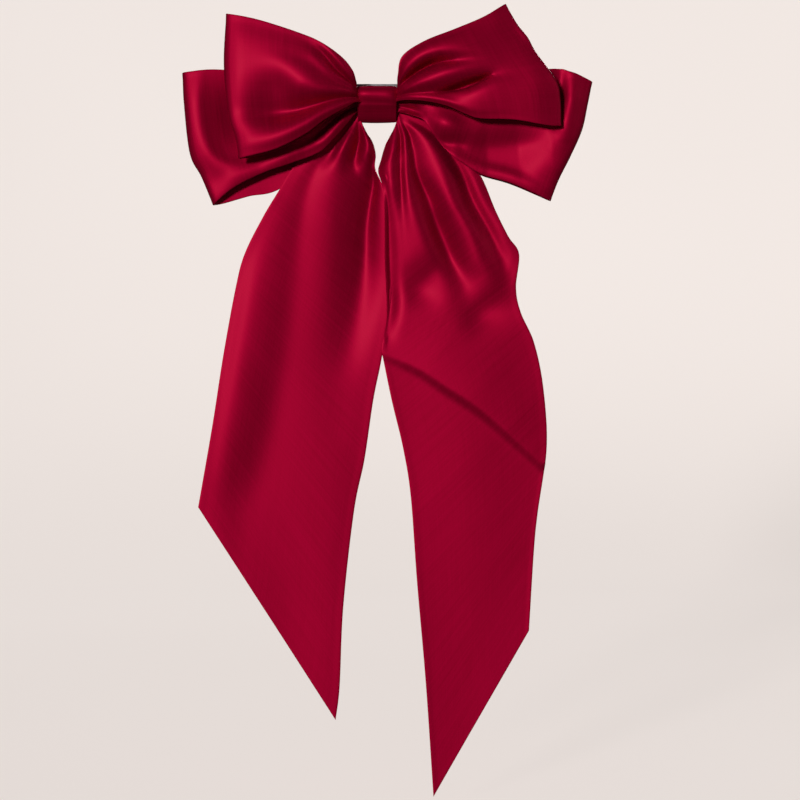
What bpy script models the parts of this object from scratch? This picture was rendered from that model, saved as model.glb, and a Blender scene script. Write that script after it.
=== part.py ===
"""A satin hair bow with long tails on a spring barrette.

The bow stands upright as it is worn: +X is the wearer's view's right, +Z is up, the bow faces -Y and the
barrette is on its back, towards +Y. The origin is the middle of the gap that grips the hair.
"""

import math

import bmesh
import bpy
import numpy as np

MM = 0.001
GAP = 0.3 * MM  # clearance between neighbouring pieces

# ---- ribbon and knot -------------------------------------------------------------------------------
SHEET = 0.75 * MM  # thickness of the double-layer ribbon
GATHER = 1.5 * MM  # thickness of one ribbon where it is gathered in the knot
KNOT_X = 0.7 * MM  # middle of the knot, measured from the barrette's middle
KNOT_Z = -6.5 * MM  # the knot sits lower than the barrette
BAND_WIDTH = 17.6 * MM
BAND_HEIGHT = 16.8 * MM
BAND_LIFT = 0.3 * MM  # band's middle above the knot's
BAND_THICK = 1.1 * MM
BAND_BACK = -8.0 * MM
THREAD_RADIUS = 0.35 * MM
THREAD_TURNS = 3
THREAD_PITCH = 1.4 * MM

# ---- barrette --------------------------------------------------------------------------------------
PLATE_HALF_LENGTH = 38.0 * MM
PLATE_HALF_HEIGHT = 4.5 * MM
PLATE_THICK = 1.2 * MM
PLATE_INNER = -5.1 * MM  # face towards the hair, at the middle
PLATE_ARCH = 0.8 * MM  # how far the ends curve towards the head
PIVOT_X = 36.6 * MM
PIVOT_Y = 1.6 * MM
PIN_RADIUS = 0.8 * MM
PIN_HOLE = PIN_RADIUS + GAP
BARREL_RADIUS = 1.9 * MM
BARREL_HALF = 2.8 * MM
EAR_THICK = 0.8 * MM
EAR_HALF_WIDTH = 2.1 * MM
ARM_INNER = 2.9 * MM  # face of the closed arm towards the hair
ARM_THICK = 1.2 * MM
LEAF_THICK = 0.5 * MM
LEAF_HALF_HEIGHT = 3.2 * MM
LEAF_FIXED_X = 31.0 * MM
LEAF_FREE_X = -30.0 * MM
LEAF_FREE_Y = -3.3 * MM  # lower face of the leaf's free end
LATCH_X = -35.3 * MM
LATCH_HALF_LENGTH = 1.5 * MM
LATCH_TOP = 6.2 * MM
RIVET_SHANK = 0.6 * MM
RIVET_HEAD = 1.3 * MM
RIVET_HEAD_THICK = 0.5 * MM
SEWING_HOLE = 1.1 * MM
ROUND_SIDES = 16

# Gathered ribbons lie one behind the other in the knot, from the barrette forwards.
PLY_PITCH = GATHER + GAP
REAR_BACK_PLY = BAND_BACK - BAND_THICK - 2 * GAP - 2 * THREAD_RADIUS - GATHER / 2
TAIL_PLY = REAR_BACK_PLY - PLY_PITCH
REAR_FRONT_PLY = TAIL_PLY - PLY_PITCH
FRONT_BACK_PLY = REAR_FRONT_PLY - PLY_PITCH
FRONT_FRONT_PLY = FRONT_BACK_PLY - PLY_PITCH
BAND_FRONT = FRONT_FRONT_PLY - GATHER / 2 - 2 * GAP - 2 * THREAD_RADIUS - BAND_THICK

# Outlines in millimetres from the knot's middle: x to the right, z up, each from the knot outwards.
# "fold" runs up the loop's outer fold, from its bottom corner to its top corner.
FRONT_LEFT = {
    "top": [(0, 3.6), (-9.4, 5.8), (-15.5, 16.6), (-27, 26.7), (-53, 36.8), (-68.5, 40)],
    "bottom": [(0, -1), (-8.5, 0.6), (-24, -8.7), (-46, -22), (-62.7, -26)],
    "fold": [(-62.7, -26), (-67.4, -6), (-69.5, 16), (-68.5, 40)],
}
FRONT_RIGHT = {
    "top": [(0, 3.6), (9.6, 5.8), (13, 19), (22, 27), (48, 38.4), (58.7, 45)],
    "bottom": [(0, -1), (9, 0.6), (30, 1), (46, -6.8), (84, -11)],
    "fold": [(84, -11), (83.5, 1), (78, 15.5), (68.9, 29.6), (58.7, 45)],
}
REAR_LEFT = {
    "top": [(0, 3.9), (-9, 4.6), (-30, 11), (-69.5, 16), (-89.7, 14.8)],
    "bottom": [(0, -4.0), (-8.5, -3.6), (-20, -15.6), (-52.6, -31.7), (-75.5, -46.2)],
    "rear_bottom": [(0, -4.0), (-8.5, -4.6), (-22, -22), (-45, -38.5), (-75.5, -46.2)],
    "fold": [(-75.5, -46.2), (-86.3, -22.3), (-89, 0.6), (-89.7, 14.8)],
}
REAR_RIGHT = {
    "top": [(0, 3.9), (9.5, 4.6), (35, 11), (79, 16), (99.2, 10.7)],
    "bottom": [(0, -4.0), (10, -3.6), (21.6, -8), (32.4, -21.7), (62, -36.5), (79.9, -44.3)],
    "fold": [(79.9, -44.3), (89, -23.7), (97.2, 0.6), (99.2, 10.7)],
}
# The tails' outer edge runs over the knot from the left tail's cut corner to the right one's; the inner
# edge runs from tip to tip underneath.
TAIL_OUTER_LEFT = [(0, 1.5), (-9.5, 1), (-24, -11), (-45.4, -39), (-61.3, -68.6), (-71.3, -115.5),
                   (-76.5, -148.4), (-82.7, -184.9)]
TAIL_INNER_LEFT = [(0, -3.8), (-9.6, -4.2), (-10.4, -10), (-2.5, -17), (-0.5, -24), (3, -50), (6, -88),
                   (2, -117), (-8.5, -175), (-16.5, -251), (-18.8, -283.4)]
TAIL_OUTER_RIGHT = [(0, 1.5), (9.5, 1), (30, -13), (49, -36), (65.8, -68.6), (66, -95), (76, -130),
                    (77.2, -164), (71.9, -206.6), (69.6, -242.4)]
TAIL_INNER_RIGHT = [(0, -3.8), (9.6, -4.2), (10.4, -10), (4.5, -19), (3.2, -40), (3.2, -80), (2.7, -117),
                    (12.1, -159), (16.1, -199.5), (22.6, -267.6), (26.3, -318)]
# Depth of each loop's section, in millimetres from its gathered ply: (share of the way out, depth).
FRONT_SECTION_FRONT = [(0, 0), (0.05, 0), (0.1, -0.1), (0.13, -0.5), (0.17, -2.4), (0.25, -5.5), (0.4, -9),
                       (0.65, -11.5), (0.88, -11), (0.975, -9)]
FRONT_SECTION_BACK = [(0.975, -6), (0.85, -5.2), (0.6, -5), (0.3, -4.4), (0.17, -1.6), (0.1, 0),
                      (0.05, 0), (0, 0)]
FRONT_FOLD_DEPTH = -6.6
REAR_SECTION_FRONT = [(0, 0), (0.05, 0), (0.1, 0), (0.17, -2), (0.3, -4), (0.45, -5), (0.8, -4.5),
                      (0.96, -2.5)]
REAR_SECTION_BACK = [(0.96, 0.4), (0.8, 1.6), (0.5, 2.0), (0.2, 0.9), (0.1, 0), (0.05, 0), (0, 0)]
REAR_FOLD_DEPTH = 1.0
TAIL_DEPTH = [(0, 0), (0.12, 0.2), (0.3, 2.6), (0.6, 4.4), (1, 6.4)]
RIGHT_TAIL_FORWARD = 2.6 * MM  # the right tail crosses in front of the left one

PLY_COLUMNS = 8
CURVE_STEPS = 12


# ---- helpers ---------------------------------------------------------------------------------------
def clear_scene():
    for old in list(bpy.data.objects):
        bpy.data.objects.remove(old, do_unlink=True)


def make_material(name, colour, roughness, metallic=0.0):
    material = bpy.data.materials.new(name)
    material.use_nodes = True
    shader = material.node_tree.nodes["Principled BSDF"]
    shader.inputs["Base Color"].default_value = (*colour, 1.0)
    shader.inputs["Roughness"].default_value = roughness
    shader.inputs["Metallic"].default_value = metallic
    return material


def add_object(name, bm, material, smooth=True):
    bmesh.ops.recalc_face_normals(bm, faces=bm.faces)
    mesh = bpy.data.meshes.new(name)
    bm.to_mesh(mesh)
    bm.free()
    mesh.materials.append(material)
    if smooth:
        mesh.shade_smooth()
        mesh.set_sharp_from_angle(angle=math.radians(35))
    obj = bpy.data.objects.new(name, mesh)
    bpy.context.scene.collection.objects.link(obj)
    return obj


def smooth_curve(points, steps=CURVE_STEPS):
    """Points on a smooth curve through the given points, `steps` to each stretch."""
    ends = np.array(points, float)
    ends = np.vstack([2 * ends[0] - ends[1], ends, 2 * ends[-1] - ends[-2]])
    curve = []
    for a, b, c, d in zip(ends, ends[1:], ends[2:], ends[3:]):
        for t in np.arange(steps) / steps:
            curve.append(0.5 * (2 * b + (c - a) * t + (2 * a - 5 * b + 4 * c - d) * t**2
                                + (3 * b - a - 3 * c + d) * t**3))
    curve.append(ends[-2])
    return np.array(curve)


def along(curve, share):
    """The point at a share of a curve's length."""
    length = np.concatenate([[0], np.cumsum(np.linalg.norm(np.diff(curve, axis=0), axis=1))])
    at = share * length[-1]
    return np.array([np.interp(at, length, curve[:, i]) for i in range(curve.shape[1])])


def sheet_mesh(rows, closed):
    """A grid of quads through rows of points; a closed one joins its last row to its first."""
    bm = bmesh.new()
    grid = [[bm.verts.new(p) for p in row] for row in rows]
    pairs = list(zip(grid, grid[1:]))
    if closed:
        pairs.append((grid[-1], grid[0]))
    for near, far in pairs:
        for i in range(len(near) - 1):
            bm.faces.new((near[i], near[i + 1], far[i + 1], far[i]))
    return bm


def thicken_ribbon(obj, row_weights, columns):
    """Give a ribbon its thickness, which grows where it is gathered."""
    group = obj.vertex_groups.new(name="thickness")
    for row, weight in enumerate(row_weights):
        first = row * (columns + 1)
        group.add(list(range(first, first + columns + 1)), weight, "REPLACE")
    solid = obj.modifiers.new("thickness", "SOLIDIFY")
    solid.thickness = GATHER
    solid.offset = 0.0
    solid.vertex_group = group.name
    solid.thickness_vertex_group = 0.0


def gathered_weight(x):
    """Share of the gathered thickness at a distance from the knot's middle, down to a single sheet."""
    out = min(max((abs(x) - BAND_WIDTH / 2) / (8 * MM), 0.0), 1.0)
    return 1.0 + (SHEET / GATHER - 1.0) * out


def box(bm, low, high):
    corners = bmesh.ops.create_cube(bm, size=1.0)["verts"]
    for vert in corners:
        for i in range(3):
            vert.co[i] = low[i] if vert.co[i] < 0 else high[i]


def bar(stations):
    """A bar along X through (x, low y, high y, half height) stations."""
    bm = bmesh.new()
    rings = []
    for x, low, high, half in stations:
        corners = ((low, -half), (high, -half), (high, half), (low, half))
        rings.append([bm.verts.new((x, y, z)) for y, z in corners])
    for near, far in zip(rings, rings[1:]):
        for i in range(4):
            j = (i + 1) % 4
            bm.faces.new((near[i], near[j], far[j], far[i]))
    bm.faces.new(rings[0])
    bm.faces.new(reversed(rings[-1]))
    return bm


def turned(profile, sides=ROUND_SIDES):
    """A solid turned about Z through (radius, z) points that start and end on the axis."""
    bm = bmesh.new()
    rings = []
    for radius, z in profile[1:-1]:
        angles = [2 * math.pi * i / sides for i in range(sides)]
        rings.append([bm.verts.new((radius * math.cos(a), radius * math.sin(a), z)) for a in angles])
    for near, far in zip(rings, rings[1:]):
        for i in range(sides):
            j = (i + 1) % sides
            bm.faces.new((near[i], near[j], far[j], far[i]))
    bm.faces.new(rings[0])
    bm.faces.new(rings[-1])
    return bm


def cutter(name, bm):
    """A hidden shape that cuts or joins another."""
    obj = add_object(name, bm, STEEL_DARK, smooth=False)
    obj.hide_render = True
    obj.display_type = "WIRE"
    return obj


def boolean(obj, tool, operation):
    step = obj.modifiers.new(tool.name, "BOOLEAN")
    step.operation = operation
    step.solver = "EXACT"
    step.object = tool


def bevelled(obj, width):
    edge = obj.modifiers.new("bevel", "BEVEL")
    edge.width = width
    edge.segments = 1
    edge.limit_method = "ANGLE"
    edge.angle_limit = math.radians(50)


# ---- ribbons ---------------------------------------------------------------------------------------
def loop_point(loop, out, up, back, depth):
    """A point of a loop: `out` from the knot to the fold, `up` from the lower edge to the upper."""
    bottom_edge = loop.get("rear_bottom", loop["bottom"]) if back else loop["bottom"]
    top = along(smooth_curve(loop["top"]), out)
    bottom = along(smooth_curve(bottom_edge), out)
    fold = along(smooth_curve(loop["fold"]), up)
    chord = np.array(loop["fold"][0]) * (1 - up) + np.array(loop["fold"][-1]) * up
    x, z = bottom * (1 - up) + top * up + out**3 * (fold - chord)
    return (x * MM + KNOT_X, depth, z * MM + KNOT_Z)


def loop_section(front, fold_depth, back):
    """Points round a loop as (share out, depth, which side), from the front ply round to the back."""
    turn = [(0.994, front[-1][1] * 0.8 + fold_depth * 0.2), (1.0, fold_depth)]
    return front + turn, [(0.994, back[0][1] * 0.8 + fold_depth * 0.2)] + back


def belt_rows(left, right, front, fold_depth, back, front_ply, back_ply):
    """Rows of points round a closed belt: left loop from front to back, then right loop back to front."""
    drop = (front_ply - back_ply) / MM
    out_side, back_side = loop_section(front, fold_depth, [(u, y - drop) for u, y in back])
    rounds = [(u, y, False) for u, y in out_side] + [(u, y, True) for u, y in back_side]
    shares = [i / PLY_COLUMNS for i in range(PLY_COLUMNS + 1)]
    rows = []
    for loop, order in ((left, rounds), (right, rounds[::-1][1:-1])):
        for u, y, is_back in order:
            depth = front_ply + y * MM
            rows.append([loop_point(loop, u, v, is_back, depth) for v in shares])
    return rows


def build_belt(name, rows, material):
    ribbon = add_object(name, sheet_mesh(rows, closed=True), material)
    weights = [gathered_weight(row[0][0] - KNOT_X) for row in rows]
    thicken_ribbon(ribbon, weights, PLY_COLUMNS)
    return ribbon


def tail_rows(outer, inner, forward):
    """Rows of points down one tail, from the knot to its cut end."""
    outer_curve = smooth_curve(outer)
    inner_curve = smooth_curve(inner)
    depth_curve = np.array(TAIL_DEPTH)
    rows = []
    for down in (0, 0.012, 0.024, 0.034, 0.043, 0.053, 0.065, 0.08, 0.11, 0.15, 0.2, 0.27, 0.35, 0.45,
                 0.55, 0.65, 0.75, 0.87, 1):
        depth = TAIL_PLY + np.interp(down, depth_curve[:, 0], depth_curve[:, 1]) * MM
        crossing = forward * min(max(down - 0.06, 0.0) / 0.08, 1.0) * min((1 - down) / 0.4, 1.0)
        edge_a = along(inner_curve, down)
        edge_b = along(outer_curve, down)
        row = []
        for i in range(PLY_COLUMNS + 1):
            x, z = edge_a + (edge_b - edge_a) * i / PLY_COLUMNS
            y = depth - crossing * (1 - i / PLY_COLUMNS)
            row.append((x * MM + KNOT_X, y, z * MM + KNOT_Z))
        rows.append(row)
    return rows


def build_tails(material):
    left = tail_rows(TAIL_OUTER_LEFT, TAIL_INNER_LEFT, 0.0)
    right = tail_rows(TAIL_OUTER_RIGHT, TAIL_INNER_RIGHT, RIGHT_TAIL_FORWARD)
    rows = left[::-1] + right[1:]
    ribbon = add_object("tail_ribbon", sheet_mesh(rows, closed=False), material)
    weights = [gathered_weight(np.hypot(*(np.mean(row, axis=0)[[0, 2]] - (KNOT_X, KNOT_Z))))
               for row in rows]
    thicken_ribbon(ribbon, weights, PLY_COLUMNS)
    return ribbon


def rounded_ring(half_depth, half_height, sides=28, power=0.45):
    """Points round a rounded oblong in the YZ plane."""
    ring = []
    for i in range(sides):
        a = 2 * math.pi * i / sides
        y = math.copysign(abs(math.cos(a)) ** power, math.cos(a)) * half_depth
        z = math.copysign(abs(math.sin(a)) ** power, math.sin(a)) * half_height
        ring.append((y, z))
    return ring


def build_band(material):
    middle_y = (BAND_BACK + BAND_FRONT) / 2
    half_depth = (BAND_BACK - BAND_FRONT - BAND_THICK) / 2
    half_height = (BAND_HEIGHT - BAND_THICK) / 2
    ring = rounded_ring(half_depth, half_height)
    columns = [-0.5, -0.25, 0.0, 0.25, 0.5]
    rows = [[(KNOT_X + c * BAND_WIDTH, middle_y + y, KNOT_Z + BAND_LIFT + z) for c in columns]
            for y, z in ring]
    band = add_object("centre_band", sheet_mesh(rows, closed=True), material)
    solid = band.modifiers.new("thickness", "SOLIDIFY")
    solid.thickness = BAND_THICK
    solid.offset = 0.0
    solid.use_even_offset = True


def build_thread(material):
    """Binding thread: a short helix round all the gathered plies."""
    half_depth = (BAND_BACK - BAND_FRONT) / 2 - BAND_THICK - GAP - THREAD_RADIUS
    half_height = BAND_HEIGHT / 2 - BAND_THICK - GAP - THREAD_RADIUS
    ring = rounded_ring(half_depth, half_height, sides=20)
    count = THREAD_TURNS * len(ring)
    curve = bpy.data.curves.new("binding_thread", "CURVE")
    curve.dimensions = "3D"
    curve.bevel_depth = THREAD_RADIUS
    curve.bevel_resolution = 1
    curve.use_fill_caps = True
    curve.materials.append(material)
    line = curve.splines.new("POLY")
    line.points.add(count)
    for i in range(count + 1):
        y, z = ring[i % len(ring)]
        x = KNOT_X + (i / count - 0.5) * THREAD_TURNS * THREAD_PITCH
        middle_y = (BAND_BACK + BAND_FRONT) / 2
        line.points[i].co = (x, middle_y + y, KNOT_Z + BAND_LIFT + z, 1.0)
    thread = bpy.data.objects.new("binding_thread", curve)
    bpy.context.scene.collection.objects.link(thread)


def build_pad(material):
    back = plate_face(0.0) - PLATE_THICK - GAP
    bm = bmesh.new()
    box(bm, (KNOT_X - 8 * MM, BAND_BACK + GAP, -3.9 * MM), (KNOT_X + 8 * MM, back, 1.2 * MM))
    pad = add_object("adhesive_pad", bm, material, smooth=False)
    bevelled(pad, 0.3 * MM)


# ---- barrette --------------------------------------------------------------------------------------
def plate_face(x):
    """Depth of the plate's face towards the hair."""
    return PLATE_INNER + PLATE_ARCH * (x / PLATE_HALF_LENGTH) ** 2


def round_hole(name, radius, x, y, half_length, along_z):
    """A round cutter at (x, y), along Z or along Y."""
    bm = turned([(0, -half_length), (radius, -half_length), (radius, half_length), (0, half_length)])
    tool = cutter(name, bm)
    tool.location = (x, y, 0.0)
    if not along_z:
        tool.rotation_euler = (math.radians(90), 0.0, 0.0)
    return tool


def build_base(material):
    stations = []
    for x in np.linspace(-PLATE_HALF_LENGTH, PLATE_HALF_LENGTH, 11):
        taper = 0.8 if abs(x) > 0.99 * PLATE_HALF_LENGTH else 1.0
        face = plate_face(x)
        stations.append((x, face - PLATE_THICK, face, PLATE_HALF_HEIGHT * taper))
    base = add_object("barrette_base", bar(stations), material, smooth=False)
    inner_ear = BARREL_HALF + GAP
    ears = bmesh.new()
    for side in (-1, 1):
        low, high = sorted((side * inner_ear, side * (inner_ear + EAR_THICK)))
        box(ears, (PIVOT_X - EAR_HALF_WIDTH, PLATE_INNER - 0.4 * MM, low),
            (PIVOT_X + EAR_HALF_WIDTH - 1.0 * MM, PIVOT_Y + EAR_HALF_WIDTH, high))
    boolean(base, cutter("ears", ears), "UNION")
    boolean(base, round_hole("ear_holes", PIN_HOLE, PIVOT_X, PIVOT_Y, 9 * MM, True), "DIFFERENCE")
    cuts = (("latch_rivet_hole", RIVET_SHANK + GAP, LATCH_X),
            ("spring_rivet_hole", RIVET_SHANK + GAP, LEAF_FIXED_X - 2 * MM),
            ("sewing_hole_left", SEWING_HOLE, -24 * MM),
            ("sewing_hole_right", SEWING_HOLE, 24 * MM))
    for name, radius, x in cuts:
        boolean(base, round_hole(name, radius, x, PLATE_INNER, 3 * MM, False), "DIFFERENCE")


def build_pin(material):
    shank = BARREL_HALF + EAR_THICK + 2 * GAP
    head = shank + 0.4 * MM
    profile = [(0, -head), (PIN_RADIUS * 1.3, -head), (PIN_RADIUS * 1.5, -shank), (PIN_RADIUS, -shank),
               (PIN_RADIUS, shank), (PIN_RADIUS * 1.5, shank), (PIN_RADIUS * 1.3, head), (0, head)]
    pin = add_object("hinge_pin", turned(profile), material)
    pin.location = (PIVOT_X, PIVOT_Y, 0.0)


def build_arm(material):
    """The arm, modelled about its pivot, with a barrel, a latch window and a turned-up finger tip."""
    low = ARM_INNER - PIVOT_Y
    high = low + ARM_THICK
    tip_lift = 1.6 * MM
    outline = ((0.0, low, high, 2.8), (-3.2, low, high, 2.8), (-4.4, low, high, 3.4),
               (-67, low, high, 3.4), (-69, low, high, 4.4), (-75.6, low, high, 4.4),
               (-79, low + tip_lift, high + tip_lift, 3.2))
    stations = [(x * MM, y_low, y_high, half * MM) for x, y_low, y_high, half in outline]
    arm = add_object("clasp_arm", bar(stations), material, smooth=False)
    arm.location = (PIVOT_X, PIVOT_Y, 0.0)
    barrel = turned([(0, -BARREL_HALF), (BARREL_RADIUS, -BARREL_HALF), (BARREL_RADIUS, BARREL_HALF),
                     (0, BARREL_HALF)])
    barrel_tool = cutter("arm_barrel", barrel)
    barrel_tool.location = arm.location
    boolean(arm, barrel_tool, "UNION")
    boolean(arm, round_hole("arm_bore", PIN_HOLE, PIVOT_X, PIVOT_Y, 6 * MM, True), "DIFFERENCE")
    window = bmesh.new()
    reach = LATCH_HALF_LENGTH + 0.7 * MM
    box(window, (LATCH_X - reach, 0.0, -3.0 * MM), (LATCH_X + reach, 8 * MM, 3.0 * MM))
    boolean(arm, cutter("latch_window", window), "DIFFERENCE")


def build_leaf(material):
    """The tension spring: a leaf that rises from its riveted end to its free end."""
    fixed_y = plate_face(LEAF_FIXED_X) + GAP
    stations = []
    for share in np.linspace(0, 1, 9):
        x = LEAF_FIXED_X + (LEAF_FREE_X - LEAF_FIXED_X) * share
        low = fixed_y + (LEAF_FREE_Y - fixed_y) * math.sin(share * math.pi / 2)
        half = LEAF_HALF_HEIGHT * (1.0 if share < 0.95 else 0.7)
        stations.append((x - LEAF_FIXED_X, low, low + LEAF_THICK, half))
    leaf = add_object("tension_spring", bar(stations), material, smooth=False)
    leaf.location = (LEAF_FIXED_X, 0.0, 0.0)
    hole = round_hole("leaf_hole", RIVET_SHANK + GAP, LEAF_FIXED_X - 2 * MM, fixed_y, 3 * MM, False)
    boolean(leaf, hole, "DIFFERENCE")


def build_rivet(name, x, covered, material):
    """A rivet along Y through the plate and a piece of the given thickness on its inner face."""
    outer = plate_face(x) - PLATE_THICK - GAP
    inner = plate_face(x) + covered + 2 * GAP
    profile = [(0, outer - RIVET_HEAD_THICK), (RIVET_HEAD * 0.7, outer - RIVET_HEAD_THICK),
               (RIVET_HEAD, outer), (RIVET_SHANK, outer), (RIVET_SHANK, inner), (RIVET_HEAD, inner),
               (RIVET_HEAD * 0.7, inner + RIVET_HEAD_THICK), (0, inner + RIVET_HEAD_THICK)]
    rivet = add_object(name, turned(profile), material)
    rivet.location = (x, 0.0, 0.0)
    rivet.rotation_euler = (math.radians(-90), 0.0, 0.0)


def build_latch(material):
    foot = plate_face(LATCH_X - LATCH_HALF_LENGTH) + GAP
    strap = bmesh.new()
    box(strap, (LATCH_X - LATCH_HALF_LENGTH, foot, -1.7 * MM),
        (LATCH_X + LATCH_HALF_LENGTH, foot + 0.5 * MM, 1.7 * MM))
    strap_obj = add_object("latch_strap", strap, material, smooth=False)
    hole = round_hole("strap_hole", RIVET_SHANK + GAP, LATCH_X, PLATE_INNER, 4 * MM, False)
    boolean(strap_obj, hole, "DIFFERENCE")
    root = foot + 0.25 * MM
    # Section of the upper leg as (height above its root, z from its root line): leg, hook and tip.
    top = LATCH_TOP - root
    hook = ARM_INNER + ARM_THICK + GAP - root
    section = [(0, -0.25 * MM), (top, -0.25 * MM), (top, 0.1 * MM), (hook + 0.5 * MM, 0.5 * MM),
               (hook, 0.5 * MM), (hook - 0.3 * MM, 0.25 * MM), (0, 0.25 * MM)]
    for name, side in (("upper_latch_tab", 1), ("lower_latch_tab", -1)):
        bm = bmesh.new()
        near = [bm.verts.new((-LATCH_HALF_LENGTH, y, side * z)) for y, z in section]
        far = [bm.verts.new((LATCH_HALF_LENGTH, y, side * z)) for y, z in section]
        for i in range(len(section)):
            j = (i + 1) % len(section)
            bm.faces.new((near[i], near[j], far[j], far[i]))
        bm.faces.new(near)
        bm.faces.new(far)
        tab = add_object(name, bm, material, smooth=False)
        tab.location = (LATCH_X, root, side * 2.25 * MM)


# ---- assembly --------------------------------------------------------------------------------------
clear_scene()
SATIN = make_material("satin", (0.30, 0.002, 0.022), 0.42)
THREAD = make_material("thread", (0.16, 0.004, 0.015), 0.7)
GLUE = make_material("glue", (0.75, 0.70, 0.58), 0.45)
STEEL_DARK = make_material("dark_steel", (0.10, 0.10, 0.11), 0.35, 1.0)
STEEL_SPRING = make_material("spring_steel", (0.42, 0.42, 0.44), 0.3, 1.0)

build_belt("front_bow_ribbon",
           belt_rows(FRONT_LEFT, FRONT_RIGHT, FRONT_SECTION_FRONT, FRONT_FOLD_DEPTH, FRONT_SECTION_BACK,
                     FRONT_FRONT_PLY, FRONT_BACK_PLY), SATIN)
build_belt("rear_bow_ribbon",
           belt_rows(REAR_LEFT, REAR_RIGHT, REAR_SECTION_FRONT, REAR_FOLD_DEPTH, REAR_SECTION_BACK,
                     REAR_FRONT_PLY, REAR_BACK_PLY), SATIN)
build_tails(SATIN)
build_band(SATIN)
build_thread(THREAD)
build_pad(GLUE)
build_base(STEEL_DARK)
build_pin(STEEL_SPRING)
build_arm(STEEL_DARK)
build_leaf(STEEL_SPRING)
build_rivet("spring_rivet", LEAF_FIXED_X - 2 * MM, LEAF_THICK, STEEL_SPRING)
build_rivet("latch_rivet", LATCH_X, 0.5 * MM, STEEL_SPRING)
build_latch(STEEL_SPRING)
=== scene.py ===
"""Looks of a satin hair bow with long tails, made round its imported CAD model.

Shapes are worked out in millimetres from the knot's middle, x to the right and z up as the bow is seen from
the front, and depth y away from the viewer. The knot and the plies are found from the CAD nodes' boxes.
"""
import math

import bpy
import numpy as np
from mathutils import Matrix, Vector


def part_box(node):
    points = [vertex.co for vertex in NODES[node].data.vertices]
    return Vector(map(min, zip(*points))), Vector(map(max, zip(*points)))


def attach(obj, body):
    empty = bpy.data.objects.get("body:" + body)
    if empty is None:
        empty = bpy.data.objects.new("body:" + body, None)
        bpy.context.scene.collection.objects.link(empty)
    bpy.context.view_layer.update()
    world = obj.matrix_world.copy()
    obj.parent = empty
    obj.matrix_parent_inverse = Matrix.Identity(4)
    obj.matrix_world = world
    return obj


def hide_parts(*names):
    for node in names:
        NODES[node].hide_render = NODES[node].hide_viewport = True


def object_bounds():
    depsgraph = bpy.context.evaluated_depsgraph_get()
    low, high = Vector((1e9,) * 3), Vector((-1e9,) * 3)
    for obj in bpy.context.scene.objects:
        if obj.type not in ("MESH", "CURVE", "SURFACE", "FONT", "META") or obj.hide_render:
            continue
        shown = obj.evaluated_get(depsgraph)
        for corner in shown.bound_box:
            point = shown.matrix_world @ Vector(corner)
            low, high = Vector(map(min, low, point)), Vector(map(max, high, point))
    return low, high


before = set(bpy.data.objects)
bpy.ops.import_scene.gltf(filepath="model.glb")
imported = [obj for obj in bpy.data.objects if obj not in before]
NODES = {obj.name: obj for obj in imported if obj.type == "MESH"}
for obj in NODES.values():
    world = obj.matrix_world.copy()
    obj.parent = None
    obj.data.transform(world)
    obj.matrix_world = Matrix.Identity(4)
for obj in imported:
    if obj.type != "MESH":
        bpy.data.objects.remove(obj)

CAD_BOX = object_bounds()
MM = 0.001

# ---- places taken from the frame -------------------------------------------------------------------
BAND_LOW, BAND_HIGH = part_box("centre_band")
BAND_MIDDLE = (BAND_LOW + BAND_HIGH) / 2
KNOT_DROP = 0.3 * MM  # the gathers lie a little below the band's middle
KNOT = Vector((BAND_MIDDLE.x, 0.0, BAND_MIDDLE.z - KNOT_DROP))
BAND_WALL = 1.1 * MM
BAND_PADDING = 2.05 * MM  # from the band's back wall to the rearmost gathered ribbon
PLY = 1.8 * MM  # from one gathered ribbon to the next, inside the band
REAR_BACK_PLY = BAND_HIGH.y - BAND_WALL - BAND_PADDING
TAIL_PLY = REAR_BACK_PLY - PLY
REAR_FRONT_PLY = TAIL_PLY - PLY
FRONT_BACK_PLY = REAR_FRONT_PLY - PLY
FRONT_FRONT_PLY = FRONT_BACK_PLY - PLY
HALF_BAND = (BAND_HIGH.x - BAND_LOW.x) / 2 / MM

SHEET = 0.62 * MM  # two plies of satin, turned and pressed
RIBBON_WIDTH = 0.075  # at the folds and along the tails
STEP = 0.9  # mesh spacing in millimetres
COLUMNS = int(RIBBON_WIDTH / MM / STEP) + 1  # mesh points across a ribbon

# ---- outlines, in millimetres from the knot --------------------------------------------------------
FRONT_LEFT = {
    "top": [(0, 3.6), (-8.4, 6.4), (-9.6, 9.4), (-11.2, 14.2), (-16, 19.8), (-25.6, 26.6), (-35.4, 30.8),
            (-53.8, 36.8), (-68.5, 40)],
    "bottom": [(0, -1), (-8.8, 0.4), (-13.5, -2.1), (-24.4, -8.9), (-32.3, -15), (-46, -22), (-62.7, -26.2)],
    "fold": [(-62.7, -26.2), (-64.1, -16.9), (-67.4, -6.1), (-69.5, 16.1), (-68.5, 40)],
}
FRONT_RIGHT = {
    "top": [(0, 3.6), (8.6, 6.4), (9.6, 12), (11.6, 20.4), (21.6, 26.9), (35.1, 32.3), (48.6, 38.4),
            (58.7, 44.9)],
    "bottom": [(0, -1), (9.6, 1.2), (21.6, 0.3), (31.7, -2), (39.8, -5.6), (46.9, -8), (62.1, -8.6),
               (77, -10.9), (84, -11)],
    "fold": [(84, -11), (83.7, 0.6), (81.7, 9.4), (72.9, 22.2), (68.9, 29.6), (64.1, 35.7), (58.7, 44.9)],
}
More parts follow.
